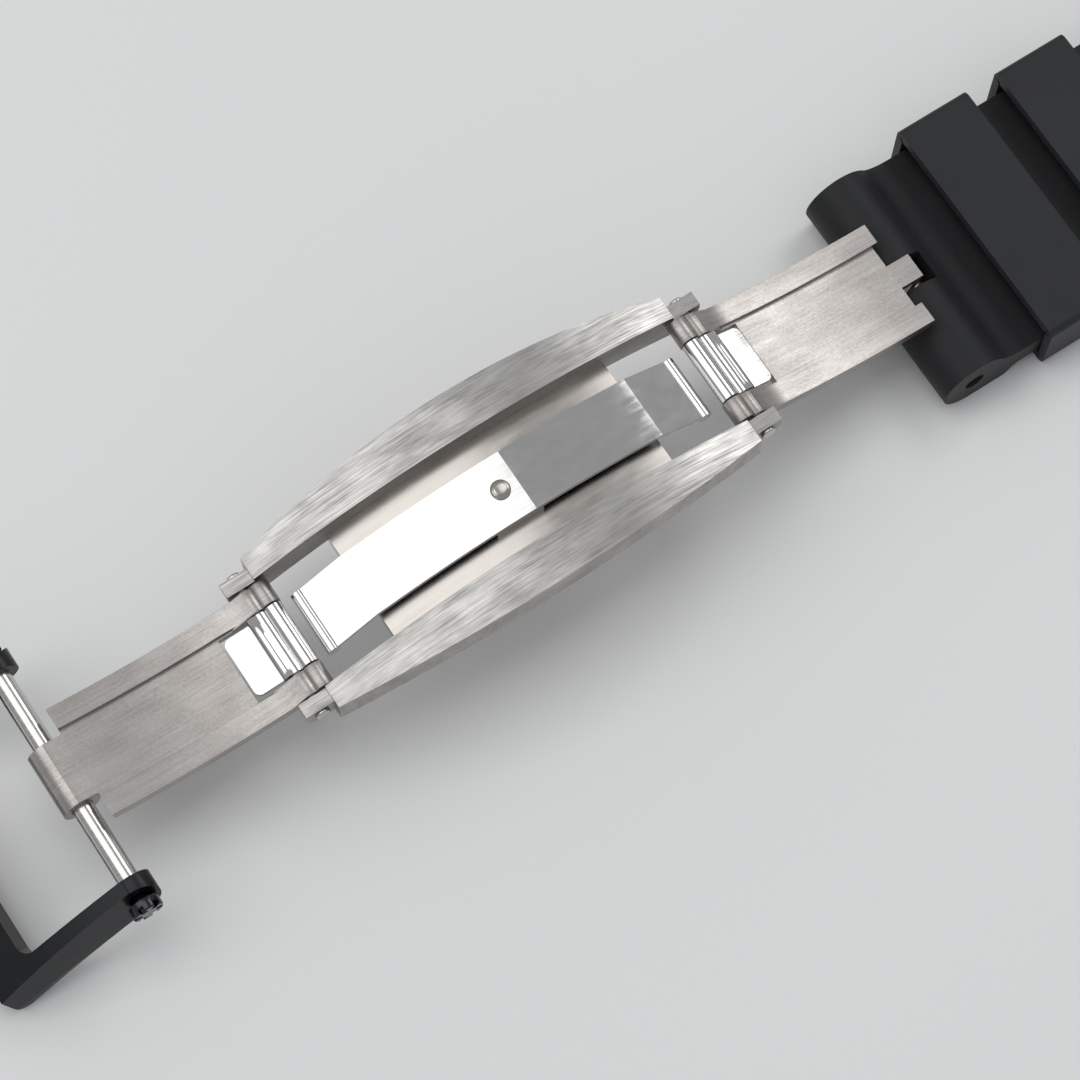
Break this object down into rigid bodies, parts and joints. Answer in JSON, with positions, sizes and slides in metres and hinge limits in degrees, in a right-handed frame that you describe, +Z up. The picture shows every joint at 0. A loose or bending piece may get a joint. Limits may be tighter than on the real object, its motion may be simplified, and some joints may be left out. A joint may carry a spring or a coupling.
{
  "type": "folding watch clasp with strap",
  "caption": "Open double-fold titanium watch clasp with a black strap buckle at one end and a rubber strap half with two keepers at the other.",
  "frame": {"origin": "middle of the bounding box in plan, at the height of the table it lies on", "axes": "+X along the clasp from the buckle towards the watch case, +Y across the strap, +Z up from the table"},
  "size_m": [0.1704, 0.026, 0.0149],
  "materials": {
    "titanium": "satin titanium, brushed along the rails",
    "polished_steel": "mirror polished steel",
    "satin_steel": "turned steel",
    "black_metal": "satin black coating over steel",
    "black_screws": "glossy black coating over steel",
    "rubber": "matte black moulded rubber"
  },
  "bodies": {
    "clasp_frame": {"centre_frame": "titanium", "leaf_spring": "polished_steel", "centre_rivet": "satin_steel", "left_hinge_pin": "satin_steel", "right_hinge_pin": "satin_steel"},
    "left_arm": {"left_arm": "titanium", "left_cam": "polished_steel"},
    "right_arm": {"right_arm": "titanium", "right_cam": "polished_steel"},
    "buckle": {"buckle_frame": "black_metal", "buckle_bar": "polished_steel", "buckle_screws": "black_screws"},
    "strap": {"strap": "rubber", "strap_pin": "satin_steel", "case_bar_tube": "satin_steel", "case_bar_spring": "satin_steel"},
    "first_keeper": {"first_keeper": "rubber"},
    "second_keeper": {"second_keeper": "rubber"},
    "far_tip": {"case_bar_far_tip": "satin_steel"},
    "near_tip": {"case_bar_near_tip": "satin_steel"}
  },
  "joints": [
    {"name": "left_arm_fold", "type": "hinge", "parent": "clasp_frame", "child": "left_arm", "pos_m": [-0.05185, 0, 0.00898], "axis": [0, 1, 0], "range_deg": [-20, 161]},
    {"name": "right_arm_fold", "type": "hinge", "parent": "clasp_frame", "child": "right_arm", "pos_m": [-0.00889, 0, 0.01093], "axis": [0, -1, 0], "range_deg": [-8, 180]},
    {"name": "buckle_swing", "type": "hinge", "parent": "left_arm", "child": "buckle", "pos_m": [-0.07187, 0, 0.00832], "axis": [0, -1, 0], "range_deg": [-60, 140]},
    {"name": "strap_swing", "type": "hinge", "parent": "right_arm", "child": "strap", "pos_m": [0.01051, 0, 0.0031], "axis": [0, 1, 0], "range_deg": [-30, 180]},
    {"name": "first_keeper_slide", "type": "slide", "parent": "strap", "child": "first_keeper", "axis": [1, 0, 0], "range_m": [-0.0019, 0.001]},
    {"name": "second_keeper_slide", "type": "slide", "parent": "strap", "child": "second_keeper", "axis": [1, 0, 0], "range_m": [-0.0012, 0.016]},
    {"name": "far_tip_press", "type": "slide", "parent": "strap", "child": "far_tip", "axis": [0, -1, 0], "range_m": [0, 0.0013], "stiffness_N_per_m": 400, "springref_m": -0.0015, "deforming": ["case_bar_spring"]},
    {"name": "near_tip_press", "type": "slide", "parent": "strap", "child": "near_tip", "axis": [0, 1, 0], "range_m": [0, 0.0013], "stiffness_N_per_m": 400, "springref_m": -0.0015, "deforming": ["case_bar_spring"]}
  ]
}
